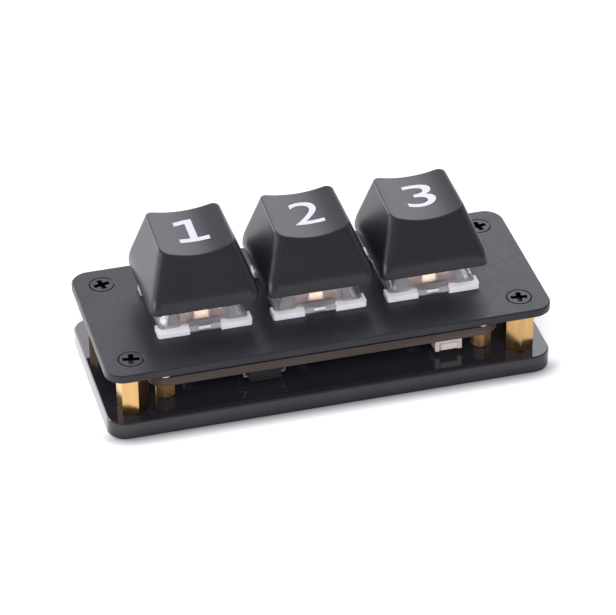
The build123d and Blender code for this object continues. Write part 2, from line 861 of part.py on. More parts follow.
def make_port_shell():
    shell = port_form(0, port_back, port_mouth)
    shell -= port_form(port_wall, port_back + port_back_wall, port_mouth + cut_overrun)
    tab_reach = port_tab_reach + port_wall
    tab_x = port_length / 2 - port_wall + tab_reach / 2
    for side in (-1, 1):
        for tab_y in (port_back + port_tab_inset, board_back - port_tab_inset):
            shell += block(
                tab_reach, port_tab_width, board_top, board_top + port_tab_thickness, side * tab_x, tab_y
            )
    return shell - port_form(port_wall, port_back + port_back_wall, port_mouth + cut_overrun)


def make_port_tongue():
    inner_back = port_back + port_back_wall
    tongue = port_form(port_wall + fit_clearance, inner_back, inner_back + port_block_depth)
    half = port_tongue_thickness / 2
    reach_middle = inner_back + port_block_depth + port_tongue_reach / 2
    return tongue + block(
        port_tongue_length, port_tongue_reach, port_centre - half, port_centre + half, 0, reach_middle
    )


def make_port_contacts():
    """Flat contacts lying on both faces of the port's tongue."""
    low = port_centre + port_tongue_thickness / 2
    high = low + port_contact_thickness
    front = port_back + port_back_wall + port_block_depth
    middle = front + port_contact_length / 2
    steps = row_steps(port_contacts_per_side, port_contact_pitch)
    upper = block(port_contact_width, port_contact_length, low, high, 0, middle)
    lower = Pos(0, 0, -port_tongue_thickness - port_contact_thickness) * upper
    return [Pos(step, 0, 0) * contact for contact in (upper, lower) for step in steps]


def button_pocket():
    """The cutter of the boot button's pocket, open at the front and below."""
    length = button_length - 2 * button_cheek
    depth = button_pocket_depth + cut_overrun
    low = board_underside - button_height - cut_overrun
    return block(
        length, depth, low, board_underside - button_roof, button_place_x,
        board_front + button_pocket_depth - depth / 2,
    )


def make_boot_button_body():
    body = block(
        button_length, button_depth, board_underside - button_height, board_underside,
        button_place_x, board_front + button_depth / 2,
    )
    body = chamfer(body.faces().sort_by(Axis.Z)[0].edges(), button_chamfer)
    return body - button_pocket()


def make_boot_button_plunger():
    length = button_length - 2 * button_cheek - 2 * fit_clearance
    top = board_underside - button_roof - fit_clearance
    front = board_front - plunger_reach
    plunger = block(
        length, plunger_depth, top - plunger_height, top, button_place_x, front + plunger_depth / 2
    )
    return chamfer(plunger.faces().sort_by(Axis.Y)[0].edges(), button_chamfer)


def at_key(shape, place):
    """Set a piece that was made on the key's axis at one key."""
    return Pos(place[0], place[1], 0) * shape


def main():
    nodes = {
        "top_plate": make_top_plate(),
        "base_plate": make_base_plate(),
        "circuit_board": make_circuit_board(),
        "corner_pillars": make_corner_pillars(),
        "board_pillars": make_board_pillars(),
        "top_plate_screws": make_top_plate_screws(),
        "base_plate_screws": make_base_plate_screws(),
        "board_pillar_screws": make_board_pillar_screws(),
        "board_screws": make_board_screws(),
        "microcontroller": make_controller(),
        "flash_chip": make_flash_chip(),
        "flash_chip_leads": make_flash_chip_leads(),
        "voltage_regulator": make_voltage_regulator(),
        "regulator_leads": make_regulator_leads(),
        "crystal": make_crystal(),
        "chip_capacitors": make_chip_capacitors(),
        "chip_resistors": make_chip_resistors(),
        "key_lights": make_key_lights(),
        "solder_joints": make_solder_joints(),
        "usb_port_shell": make_port_shell(),
        "usb_port_tongue": make_port_tongue(),
        "usb_port_contacts": make_port_contacts(),
        "boot_button_body": make_boot_button_body(),
        "boot_button_plunger": make_boot_button_plunger(),
    }
    switch_pieces = {
        "keycap": make_keycap(),
        "switch_stem": make_stem(),
        "switch_lower_housing": make_lower_housing(),
        "switch_upper_housing": make_upper_housing(),
        "switch_spring": make_spring(),
        "switch_contact_leaf": make_contact_leaf(),
        "switch_fixed_contact": make_fixed_contact(),
    }
    for number, place in enumerate(key_places, start=1):
        for name, shape in switch_pieces.items():
            nodes[f"{name}_{number}"] = at_key(shape, place)
    os.makedirs("parts", exist_ok=True)
    for name, shape in nodes.items():
        solids = shape if isinstance(shape, list) else shape.solids()
        export_step(Compound(children=list(solids)), f"parts/{name}.step")


main()
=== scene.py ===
"""Looks of a three-key programmable keypad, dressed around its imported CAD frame.

Lengths are metres in the CAD frame: +X along the row of keys, +Y to the back, +Z up.
"""

import logging
import math
from collections.abc import Callable, Iterable
from dataclasses import dataclass
from enum import Enum
from typing import ClassVar

import bpy
from mathutils import Matrix, Vector

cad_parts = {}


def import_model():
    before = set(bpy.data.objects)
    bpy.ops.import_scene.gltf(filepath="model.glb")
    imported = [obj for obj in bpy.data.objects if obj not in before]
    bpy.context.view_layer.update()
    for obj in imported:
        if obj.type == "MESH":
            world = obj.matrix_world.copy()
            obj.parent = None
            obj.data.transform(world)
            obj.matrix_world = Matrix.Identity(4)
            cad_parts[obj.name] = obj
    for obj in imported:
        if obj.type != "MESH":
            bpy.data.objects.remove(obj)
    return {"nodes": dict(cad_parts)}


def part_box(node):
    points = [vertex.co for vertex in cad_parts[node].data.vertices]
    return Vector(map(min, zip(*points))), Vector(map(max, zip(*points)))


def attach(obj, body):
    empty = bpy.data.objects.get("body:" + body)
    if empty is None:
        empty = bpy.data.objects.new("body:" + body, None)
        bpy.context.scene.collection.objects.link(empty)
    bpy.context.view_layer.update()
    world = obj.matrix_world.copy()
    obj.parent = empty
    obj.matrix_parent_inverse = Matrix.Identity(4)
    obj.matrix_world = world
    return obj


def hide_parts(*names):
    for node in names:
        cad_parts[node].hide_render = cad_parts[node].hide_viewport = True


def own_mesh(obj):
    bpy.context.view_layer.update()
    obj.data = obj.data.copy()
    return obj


MM = 0.001
LOG = logging.getLogger("keypad")

Color = tuple[float, float, float]
Triple = tuple[float, float, float]
Nodes = dict[str, bpy.types.Object]
Socket = bpy.types.NodeSocket

BLACK: Color = (0.0, 0.0, 0.0)
WHITE: Color = (1.0, 1.0, 1.0)

# The scale of a drawn-out pattern along its grain.
DRAWN_OUT = 0.04


class Direction(Enum):
    """The way that a surface's grain runs, as the scale of its pattern along X, Y and Z."""

    ALL = (1.0, 1.0, 1.0)
    ALONG_X = (DRAWN_OUT, 1.0, 1.0)
    ALONG_Z = (1.0, 1.0, DRAWN_OUT)


def shade(color: Color, share: float) -> Color:
    """Give a colour made lighter or darker by a share."""
    return tuple(min(1.0, channel * share) for channel in color)


class NodeGraph:
    """A node tree, with short ways to add nodes and join them."""

    RANGE_INPUTS = slice(0, 5)
    NUMBER_INPUTS = slice(2, 4)
    COLOR_INPUTS = slice(6, 8)
    COLOR_OUTPUT = 2

    def __init__(self, tree: bpy.types.NodeTree) -> None:
        """Work on an existing tree."""
        self.tree = tree

    def add(self, kind: str, **settings: object) -> bpy.types.Node:
        """Add a node.

        Args:
            kind: The node's type.
            settings: Properties of the node to set.

        Returns:
            The new node.
        """
        node = self.tree.nodes.new(kind)
        for name, value in settings.items():
            setattr(node, name, value)
        return node

    def feed(self, target: Socket, value: object) -> None:
        """Join an output to an input, or set the input's own value.

        Args:
            target: The input.
            value: An output socket, a colour, a vector or a number.
        """
        if isinstance(value, bpy.types.NodeSocket):
            self.tree.links.new(value, target)
        elif target.type == "RGBA":
            target.default_value = (*value, 1.0)
        else:
            target.default_value = value

    def feed_all(self, targets: Iterable[Socket], values: Iterable[object]) -> None:
        """Feed several inputs in order."""
        for target, value in zip(targets, values):
            self.feed(target, value)

    def math(self, operation: str, *values: object) -> Socket:
        """Work values through one Math node.

        Args:
            operation: The node's operation.
            values: The inputs, as sockets or numbers.

        Returns:
            The result.
        """
        node = self.add("ShaderNodeMath", operation=operation)
        self.feed_all(node.inputs, values)
        return node.outputs[0]

    def ramp(self, value: Socket, start: float, end: float, low: float, high: float) -> Socket:
        """Map a range of a value to another range.

        Args:
            value: The value.
            start: The value at which the result is low.
            end: The value at which the result is high.
            low: The result up to the start.
            high: The result from the end on.

        Returns:
            The mapped output.
        """
        node = self.add("ShaderNodeMapRange")
        self.feed_all(node.inputs[self.RANGE_INPUTS], (value, start, end, low, high))
        return node.outputs["Result"]

    def mix_numbers(self, share: Socket, first: object, second: object) -> Socket:
        """Go from a first number to a second one.

        Args:
            share: The second number's share, from 0 to 1.
            first: The first number.
            second: The second number.

        Returns:
            The mixed number.
        """
        node = self.add("ShaderNodeMix", data_type="FLOAT")
        self.feed_all((node.inputs[0], *node.inputs[self.NUMBER_INPUTS]), (share, first, second))
        return node.outputs[0]

    def mix_colors(self, share: Socket, first: object, second: object) -> Socket:
        """Go from a first colour to a second one.

        Args:
            share: The second colour's share, from 0 to 1.
            first: The first colour.
            second: The second colour.

        Returns:
            The mixed colour.
        """
        node = self.add("ShaderNodeMix", data_type="RGBA")
        self.feed_all((node.inputs[0], *node.inputs[self.COLOR_INPUTS]), (share, first, second))
        return node.outputs[self.COLOR_OUTPUT]

    def mirrored_rays(self) -> tuple[Socket, Socket]:
        """Tell the rays apart that see the surroundings.

        Returns:
            A mask of the rays straight from the camera, and one of those from gloss or through glass.
        """
        path = self.add("ShaderNodeLightPath")
        mirrored = self.math("MAXIMUM", path.outputs["Is Glossy Ray"], path.outputs["Is Transmission Ray"])
        return path.outputs["Is Camera Ray"], mirrored


class SurfaceGraph(NodeGraph):
    """A material's node tree around one Principled shader."""

    PATTERN_LOW = 0.3
    PATTERN_HIGH = 0.7
    BEVEL_SAMPLES = 6

    def __init__(self, name: str) -> None:
        """Start a material.

        Args:
            name: The material's name.
        """
        self.material = bpy.data.materials.new(name)
        self.material.use_nodes = True
        super().__init__(self.material.node_tree)
        self.shader = self.tree.nodes["Principled BSDF"]
        self.output = self.tree.nodes["Material Output"]
        self.place = self.add("ShaderNodeTexCoord").outputs["Object"]

    def surface(self, socket: str, value: object) -> None:
        """Feed one of the shader's own sockets."""
        self.feed(self.shader.inputs[socket], value)

    def noise(self, size: float, detail: float, run: Direction = Direction.ALL) -> Socket:
        """Add a noise pattern on Object coordinates.

        Args:
            size: The pattern's feature size.
            detail: The number of finer octaves.
            run: The way that the pattern is drawn out.

        Returns:
            The pattern's value.
        """
        mapping = self.add("ShaderNodeMapping")
        self.feed(mapping.inputs["Vector"], self.place)
        self.feed(mapping.inputs["Scale"], run.value)
        pattern = self.add("ShaderNodeTexNoise")
        self.feed(pattern.inputs["Vector"], mapping.outputs["Vector"])
        self.feed(pattern.inputs["Scale"], 1 / size)
        self.feed(pattern.inputs["Detail"], detail)
        return pattern.outputs["Fac"]

    def spread(self, pattern: Socket, low: float = 0.0, high: float = 1.0) -> Socket:
        """Stretch a noise pattern's middle range between two limits."""
        return self.ramp(pattern, self.PATTERN_LOW, self.PATTERN_HIGH, low, high)

    def axis(self, name: str) -> Socket:
        """Give one of the Object coordinates.

        Args:
            name: The coordinate, X, Y or Z.

        Returns:
            Its value.
        """
        split = self.add("ShaderNodeSeparateXYZ")
        self.feed(split.inputs[0], self.place)
        return split.outputs[name]

    def from_middle(self, name: str, middle: float, pitch: float) -> Socket:
        """Measure how far a point is from the middle of the nearest of some pieces in a row.

        Args:
            name: The coordinate along the row.
            middle: The middle of one piece.
            pitch: The distance from piece to piece.

        Returns:
            The distance, never negative.
        """
        shifted = self.math("SUBTRACT", self.axis(name), middle - pitch / 2)
        local = self.math("SUBTRACT", self.math("FLOORED_MODULO", shifted, pitch), pitch / 2)
        return self.math("ABSOLUTE", local)

    def emboss(self, height: Socket, edge_radius: float) -> None:
        """Give the surface a fine relief and softened edges.

        Args:
            height: The relief's height.
            edge_radius: The radius that sharp edges seem to have.
        """
        bump = self.add("ShaderNodeBump")
        if edge_radius > 0:
            soft = self.add("ShaderNodeBevel", samples=self.BEVEL_SAMPLES)
            self.feed(soft.inputs["Radius"], edge_radius)
            self.feed(bump.inputs["Normal"], soft.outputs["Normal"])
        self.feed(bump.inputs["Strength"], 1.0)
        self.feed(bump.inputs["Distance"], 1.0)
        self.feed(bump.inputs["Height"], height)
        self.surface("Normal", bump.outputs["Normal"])

    def add_glow(self, strength: Socket) -> None:
        """Add white light of the surface's own to what it scatters.

        Args:
            strength: The light's strength.
        """
        glow = self.add("ShaderNodeEmission")
        self.feed(glow.inputs["Strength"], strength)
        total = self.add("ShaderNodeAddShader")
        self.feed_all(total.inputs, (self.shader.outputs[0], glow.outputs[0]))
        self.feed(self.output.inputs["Surface"], total.outputs[0])


@dataclass(frozen=True)
class Finish:
    """A surface whose colour, gloss and relief vary a little, as a real one's do."""

    name: str
    color: Color
    roughness: float
    patch_size: float = 3.0 * MM
    patch_share: float = 0.06
    patch_detail: float = 3.0
    grain_size: float = 0.15 * MM
    grain_depth: float = 0.0
    grain_detail: float = 2.0
    grain_run: Direction = Direction.ALL
    gloss_share: float = 0.15
    edge_radius: float = 0.0

    made: ClassVar[dict["Finish", bpy.types.Material]] = {}

    def material(self) -> bpy.types.Material:
        """Give the finish's material, which is built once.

        Returns:
            The material.
        """
        if self not in self.made:
            self.made[self] = self.build()
        return self.made[self]

    def build(self) -> bpy.types.Material:
        """Build the material.

        Returns:
            The new material.
        """
        graph = SurfaceGraph(self.name)
        for socket, value in self.constants().items():
            graph.surface(socket, value)
        graph.surface("Base Color", self.coloring(graph))
        grain = graph.noise(self.grain_size, self.grain_detail, self.grain_run)
        duller = self.roughness * (1 + self.gloss_share)
        shinier = self.roughness * (1 - self.gloss_share)
        graph.surface("Roughness", graph.spread(grain, shinier, duller))
        if self.grain_depth > 0:
            graph.emboss(self.relief(graph, grain), self.edge_radius)
        return graph.material

    def constants(self) -> dict[str, object]:
        """Give the shader's values that are the same all over."""
        return {}

    def coloring(self, graph: SurfaceGraph) -> Socket:
        """Give the colour, in lighter and darker patches."""
        return self.patches(graph, self.color)

    def patches(self, graph: SurfaceGraph, color: Color) -> Socket:
        """Lay lighter and darker patches of a colour over the surface.

        Args:
            graph: The material's nodes.
            color: The colour.

        Returns:
            The varied colour.
        """
        pattern = graph.spread(graph.noise(self.patch_size, self.patch_detail, self.grain_run))
        darker = shade(color, 1 - self.patch_share)
        lighter = shade(color, 1 + self.patch_share)
        return graph.mix_colors(pattern, darker, lighter)

    def relief(self, graph: SurfaceGraph, grain: Socket) -> Socket:
        """Give the height of the fine relief."""
        return graph.math("MULTIPLY", grain, self.grain_depth)


@dataclass(frozen=True)
class MouldedPlastic(Finish):
    """An opaque moulded plastic with a fine spark-eroded grain."""

    grain_size: float = 0.18 * MM
    grain_depth: float = 0.006 * MM
    gloss_level: float = 0.5
    glow_share: float = 0.0
    glow_reach: Triple = (0.6 * MM, 0.5 * MM, 0.4 * MM)

    def constants(self) -> dict[str, object]:
        """Give the gloss level and how far light goes into the plastic.

        Returns:
            The shader's values by socket.
        """
        values = {"Specular IOR Level": self.gloss_level}
        if self.glow_share > 0:
            values["Subsurface Weight"] = self.glow_share
            values["Subsurface Radius"] = self.glow_reach
            values["Subsurface Scale"] = 1.0
        return values


@dataclass(frozen=True)
class CoatedMetal(Finish):
    """Metal under a thin satin coat with a faint orange-peel surface."""

    patch_size: float = 6.0 * MM
    patch_share: float = 0.15
    grain_size: float = 0.6 * MM
    grain_depth: float = 0.0002 * MM
    grain_detail: float = 3.0
    gloss_share: float = 0.12
    gloss_level: float = 0.5

    def constants(self) -> dict[str, object]:
        """Give the coat's gloss level."""
        return {"Specular IOR Level": self.gloss_level}


@dataclass(frozen=True)
class DrawnMetal(Finish):
    """Bare metal with fine marks left by drawing or turning."""

    patch_size: float = 1.6 * MM
    patch_share: float = 0.08
    grain_size: float = 0.12 * MM
    grain_depth: float = 0.0016 * MM
    gloss_share: float = 0.25
    edge_radius: float = 0.08 * MM

    def constants(self) -> dict[str, object]:
        """Make the surface a metal."""
        return {"Metallic": 1.0}


@dataclass(frozen=True)
class RecessedSteel(DrawnMetal):
    """Screw steel with painted shade: its colour is darker down in the driver recess."""

    recess_top: float = 0.0
    recess_depth: float = 0.5 * MM
    # how far the painted shade darkens the steel in the recess
    recess_share: float = 0.3

    def coloring(self, graph: SurfaceGraph) -> Socket:
        """Give the head's colour, and painted shade in the recess.

        Args:
            graph: The material's nodes.

        Returns:
            The colour.
        """
        deep = self.recess_top - self.recess_depth
        on_head = graph.ramp(graph.axis("Z"), deep, self.recess_top, 0.0, 1.0)
        # painted shade: the steel's colour darkened down in the recess
        painted_shade = self.patches(graph, shade(self.color, self.recess_share))
        return graph.mix_colors(on_head, painted_shade, self.patches(graph, self.color))


@dataclass(frozen=True)
class SprungCopper(DrawnMetal):
    """Contact strip whose middle tongue leans back a little from the rest."""

    tongue_middle: float = 0.0
    tongue_pitch: float = 1.0
    tongue_half_width: float = 1.0 * MM
    lean: float = 0.4

    def relief(self, graph: SurfaceGraph, grain: Socket) -> Socket:
        """Add the lean of the tongues to the fine marks.

        Args:
            graph: The material's nodes.
            grain: The pattern of the fine marks.

        Returns:
            The height.
        """
        marks = super().relief(graph, grain)
        across = graph.from_middle("X", self.tongue_middle, self.tongue_pitch)
        on_tongue = graph.math("LESS_THAN", across, self.tongue_half_width)
        fall = graph.math("MULTIPLY", graph.axis("Z"), -self.lean)
        return graph.math("MULTIPLY_ADD", on_tongue, fall, marks)


@dataclass(frozen=True)
class GlossAcrylic(Finish):
    """Cast acrylic sheet: a deep gloss with faint rubbed patches."""

    patch_size: float = 9.0 * MM
    patch_share: float = 0.1
    grain_size: float = 2.5 * MM
    grain_detail: float = 5.0
    gloss_share: float = 0.43
    bending: float = 1.49

    def constants(self) -> dict[str, object]:
        """Give the acrylic's index of refraction."""
        return {"IOR": self.bending}


@dataclass(frozen=True)
class ClearPlastic(Finish):
    """Clear moulded polycarbonate, a little smoky, with faint flow marks."""

    patch_size: float = 1.2 * MM
    patch_share: float = 0.02
    grain_size: float = 0.7 * MM
    grain_depth: float = 0.0018 * MM
    grain_detail: float = 1.0
    gloss_share: float = 0.5
    edge_radius: float = 0.12 * MM
    clear_share: float = 0.985
    cover_share: float = 0.6
    bending: float = 1.58

    def constants(self) -> dict[str, object]:
        """Give how clear the plastic is and how it bends light."""
        return {"Transmission Weight": self.clear_share, "Alpha": self.cover_share, "IOR": self.bending}


@dataclass(frozen=True)
class BoardLaminate(Finish):
    """Glass-fibre board: masked faces, and cut edges that show the layers."""

    patch_size: float = 1.4 * MM
    patch_share: float = 0.25
    grain_size: float = 0.9 * MM
    grain_depth: float = 0.003 * MM
    grain_detail: float = 4.0
    grain_run: Direction = Direction.ALONG_X
    edge: Color = BLACK
    middle: float = 0.0
    face_start: float = 0.0

    def coloring(self, graph: SurfaceGraph) -> Socket:
        """Give the mask's colour on the faces and the laminate's on the edges.

        Args:
            graph: The material's nodes.

        Returns:
            The colour.
        """
        level = graph.math("ABSOLUTE", graph.math("SUBTRACT", graph.axis("Z"), self.middle))
        on_face = graph.math("GREATER_THAN", level, self.face_start)
        return graph.mix_colors(on_face, self.patches(graph, self.edge), self.patches(graph, self.color))


@dataclass(frozen=True)
class EndedChip(Finish):
    """A small board part in a row: a body with tinned ends."""

    grain_size: float = 0.12 * MM
    grain_depth: float = 0.0024 * MM
    ends: Color = BLACK
    along: str = "X"
    middle: float = 0.0
    pitch: float = 1.0
    end_start: float = 0.0

    def coloring(self, graph: SurfaceGraph) -> Socket:
        """Give the body's colour and the ends' metal.

        Args:
            graph: The material's nodes.

        Returns:
            The colour.
        """
        from_middle = graph.from_middle(self.along, self.middle, self.pitch)
        on_end = graph.math("GREATER_THAN", from_middle, self.end_start)
        graph.surface("Metallic", on_end)
        return graph.mix_colors(on_end, self.patches(graph, self.color), self.patches(graph, self.ends))


def dress(nodes: Nodes, finish: Finish, *names: str) -> None:
    """Give CAD nodes a finish.

    Args:
        nodes: The frame's CAD nodes.
        finish: The finish.
        names: The nodes to dress.
    """
    for name in names:
        mesh = nodes[name].data
        mesh.materials.clear()
        mesh.materials.append(finish.material())
        LOG.info("%s is dressed in %s", name, finish.name)


def deselect_all() -> None:
    """Leave edit mode with nothing selected."""
    if bpy.context.object is not None and bpy.context.object.mode != "OBJECT":
        bpy.ops.object.mode_set(mode="OBJECT")
    bpy.ops.object.select_all(action="DESELECT")


def pick(piece: bpy.types.Object) -> None:
    """Make a piece the only one selected, and the active one.

    Args:
        piece: The piece.
    """
    deselect_all()
    piece.select_set(True)
    bpy.context.view_layer.objects.active = piece


def settle(piece: bpy.types.Object) -> None:
    """Put a piece's place, turn and scale into its mesh."""
    pick(piece)
    bpy.ops.object.transform_apply(location=True, rotation=True, scale=True)


def apply_modifiers(piece: bpy.types.Object) -> None:
    """Apply all of a piece's modifiers in order.

    Args:
        piece: The piece.
    """
    pick(piece)
    for name in [modifier.name for modifier in piece.modifiers]:
        bpy.ops.object.modifier_apply(modifier=name)


def face_outwards(piece: bpy.types.Object) -> None:
    """Turn all faces of a piece the same way, outwards where it is closed.

    Args:
        piece: The piece.
    """
    pick(piece)
    bpy.ops.object.mode_set(mode="EDIT")
    bpy.ops.mesh.select_all(action="SELECT")
    bpy.ops.mesh.normals_make_consistent(inside=False)
    bpy.ops.object.mode_set(mode="OBJECT")


def pull_edges(piece: bpy.types.Object, wanted: Callable[[Vector], bool], move: Triple) -> None:
    """Extrude some of a mesh's edges.

    Args:
        piece: The piece.
        wanted: Says whether an edge with both ends at such points is pulled.
        move: How far the edges are pulled.
    """
    pick(piece)
    bpy.ops.object.mode_set(mode="EDIT")
    bpy.ops.mesh.select_mode(type="EDGE")
    bpy.ops.mesh.select_all(action="DESELECT")
    bpy.ops.object.mode_set(mode="OBJECT")
    points = [vertex.co for vertex in piece.data.vertices]
    for edge in piece.data.edges:
        edge.select = all(wanted(points[end]) for end in edge.vertices)
    bpy.ops.object.mode_set(mode="EDIT")
    bpy.ops.mesh.extrude_region_move(TRANSFORM_OT_translate={"value": move})
    bpy.ops.object.mode_set(mode="OBJECT")


@dataclass
class Structure:
    """The two plates, the pillars between them and the screws."""

    recess_start: float = 0.1 * MM
    head_color: Color = (0.045, 0.045, 0.048)
    head_roughness: float = 0.4
    coat: CoatedMetal = CoatedMetal(
        "satin_black_coat", color=(0.0185, 0.0178, 0.0215), roughness=0.42, gloss_level=0.32
    )
    acrylic: GlossAcrylic = GlossAcrylic(
        "gloss_black_acrylic", color=(0.018, 0.017, 0.021), roughness=0.05
    )
    brass: DrawnMetal = DrawnMetal(
        "drawn_brass", color=(0.62, 0.38, 0.155), roughness=0.2, grain_run=Direction.ALONG_Z
    )
    # rougher brass for the short pillars, its colour painted lighter than the corner pillars' brass to
    # stand in for light that the board keeps off them
    dull_brass: DrawnMetal = DrawnMetal(
        "turned_brass_painted_light", color=(0.72, 0.45, 0.19), roughness=0.5, grain_run=Direction.ALONG_Z
    )
    hidden_steel: DrawnMetal = DrawnMetal("black_screw_steel", color=(0.085, 0.085, 0.09), roughness=0.4)
    bright_steel: DrawnMetal = DrawnMetal("bright_screw_steel", color=(0.78, 0.78, 0.8), roughness=0.18)

    def screw_steel(self) -> RecessedSteel:
        """Give the finish of the top screws, with painted shade in their recess, which starts under the
        plate's top.

        Returns:
            The finish.
        """
        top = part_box("top_plate")[1].z
        # the top screws' steel, with painted shade in the recess
        return RecessedSteel(
            "screw_steel_painted_recess_shade",
            color=self.head_color,
            roughness=self.head_roughness,
            recess_top=top - self.recess_start,
        )

    def dress(self, nodes: Nodes) -> None:
        """Give the structure its finishes.

        Args:
            nodes: The frame's CAD nodes.
        """
        dress(nodes, self.coat, "top_plate")
        dress(nodes, self.acrylic, "base_plate")
        dress(nodes, self.brass, "corner_pillars")
        dress(nodes, self.dull_brass, "board_pillars")
        dress(nodes, self.screw_steel(), "top_plate_screws")
        dress(nodes, self.hidden_steel, "base_plate_screws", "board_pillar_screws")
        dress(nodes, self.bright_steel, "board_screws")


@dataclass
class Board:
    """The circuit board and what is soldered to it."""

    mask_depth: float = 0.05 * MM
    mask: Color = (0.014, 0.014, 0.016)
    cut_edge: Color = (0.092, 0.069, 0.054)
    board_roughness: float = 0.48
    chip_length: float = 1.0 * MM
    chips_per_row: int = 3
    capacitor_end: float = 0.28 * MM
    resistor_end: float = 0.5 * MM
    capacitor_body: Color = (0.42, 0.3, 0.2)
    resistor_body: Color = (0.02, 0.02, 0.022)
    chip_ends: Color = (0.75, 0.75, 0.77)
    chip_roughness: float = 0.42
    resin: MouldedPlastic = MouldedPlastic(
        "chip_resin", color=(0.012, 0.012, 0.013), roughness=0.5, grain_size=0.1 * MM
    )
    tin: DrawnMetal = DrawnMetal("tinned_leads", color=(0.84, 0.84, 0.86), roughness=0.38)
    solder: DrawnMetal = DrawnMetal("dull_solder", color=(0.4, 0.4, 0.42), roughness=0.5)
    lid: DrawnMetal = DrawnMetal("crystal_lid", color=(0.7, 0.7, 0.7), roughness=0.28)
    shell: DrawnMetal = DrawnMetal("port_shell_steel", color=(0.74, 0.74, 0.76), roughness=0.24)
    gold: DrawnMetal = DrawnMetal("contact_gold", color=(0.9, 0.66, 0.28), roughness=0.2)
    cream: MouldedPlastic = MouldedPlastic(
        "cream_button_plastic", color=(0.7, 0.635, 0.54), roughness=0.4, edge_radius=0.1 * MM
    )
    lamp: MouldedPlastic = MouldedPlastic(
        "lamp_housing_plastic", color=(0.82, 0.78, 0.62), roughness=0.35
    )

    def laminate(self) -> BoardLaminate:
        """Give the board's finish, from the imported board's own levels.

        Returns:
            The finish.
        """
        low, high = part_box("circuit_board")
        return BoardLaminate(
            "board_laminate",
            color=self.mask,
            roughness=self.board_roughness,
            edge=self.cut_edge,
            middle=(low.z + high.z) / 2,
            face_start=(high.z - low.z) / 2 - self.mask_depth,
        )

    def capacitor(self) -> EndedChip:
        """Give the finish of the chip capacitors, which stand in rows along Y.

        Returns:
            The finish.
        """
        low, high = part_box("chip_capacitors")
        return EndedChip(
            "ended_capacitor",
            color=self.capacitor_body,
            roughness=self.chip_roughness,
            ends=self.chip_ends,
            along="Y",
            middle=(low.y + high.y) / 2,
            pitch=(high.y - low.y - self.chip_length) / (self.chips_per_row - 1),
            end_start=self.capacitor_end,
        )

    def resistor(self) -> EndedChip:
        """Give the finish of the chip resistors, which lie across X.

        Returns:
            The finish.
        """
        low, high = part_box("chip_resistors")
        return EndedChip(
            "ended_resistor",
            color=self.resistor_body,
            roughness=self.chip_roughness,
            ends=self.chip_ends,
            middle=(low.x + high.x) / 2,
            pitch=2 * (high.x - low.x),
            end_start=self.resistor_end,
        )

    def dress(self, nodes: Nodes) -> None:
        """Give the board and its parts their finishes.

        Args:
            nodes: The frame's CAD nodes.
        """
        dress(nodes, self.laminate(), "circuit_board")
        dress(nodes, self.resin, "microcontroller", "flash_chip", "voltage_regulator", "usb_port_tongue")
        dress(nodes, self.tin, "flash_chip_leads", "regulator_leads")
        dress(nodes, self.solder, "solder_joints")
        dress(nodes, self.lid, "crystal")
        dress(nodes, self.capacitor(), "chip_capacitors")
        dress(nodes, self.resistor(), "chip_resistors")
        dress(nodes, self.shell, "usb_port_shell")
        dress(nodes, self.gold, "usb_port_contacts")
        dress(nodes, self.cream, "boot_button_body", "boot_button_plunger")
        dress(nodes, self.lamp, "key_lights")


@dataclass
class ReturnSpring:
    """One switch's coil spring."""

    key: int
    finish: DrawnMetal
    wire: float = 0.25 * MM
    turns: int = 10
    steps_per_turn: int = 24
    section_points: int = 10
    travel: float = 4.0 * MM
    weld_share: float = 0.01

    def build(self) -> bpy.types.Object:
        """Model the spring in place of its CAD node.

        Returns:
            The spring.
        """
        node = f"switch_spring_{self.key}"
        low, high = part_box(node)
        length = high.z - low.z
        spring = self.coil((high.x - low.x - self.wire) / 2, length)
        foot = Vector(((low.x + high.x) / 2, (low.y + high.y) / 2, low.z))
        spring.location = foot + Vector((0, 0, self.wire / 2))
        settle(spring)
        spring.data.materials.append(self.finish.material())
        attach(spring, "base")
        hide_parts(node)
        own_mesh(spring)
        LOG.info("spring %d is modelled, %.2f mm long", self.key, length / MM)
        return spring

    def coil(self, radius: float, length: float) -> bpy.types.Object:
        """Wind the wire's round section into a closed coil around the origin.

        Args:
            radius: The coil's radius at the middle of the wire.
            length: The spring's whole length.

        Returns:
            The coil.
        """
        deselect_all()
        bpy.ops.mesh.primitive_circle_add(
            vertices=self.section_points,
            radius=self.wire / 2,
            location=(radius, 0, 0),
            rotation=(math.pi / 2, 0, 0),
        )
        spring = bpy.context.object
        spring.name = f"coil_spring_{self.key}"
        settle(spring)
        wind = spring.modifiers.new("wind", "SCREW")
        wind.axis = "Z"
        wind.iterations = self.turns
        wind.screw_offset = (length - self.wire) / self.turns
        wind.steps = self.steps_per_turn
        wind.render_steps = self.steps_per_turn
        wind.use_smooth_shade = True
        apply_modifiers(spring)
        bpy.ops.object.mode_set(mode="EDIT")
        bpy.ops.mesh.select_all(action="SELECT")
        bpy.ops.mesh.remove_doubles(threshold=self.wire * self.weld_share)
        bpy.ops.mesh.fill_holes(sides=0)
        face_outwards(spring)
        return spring


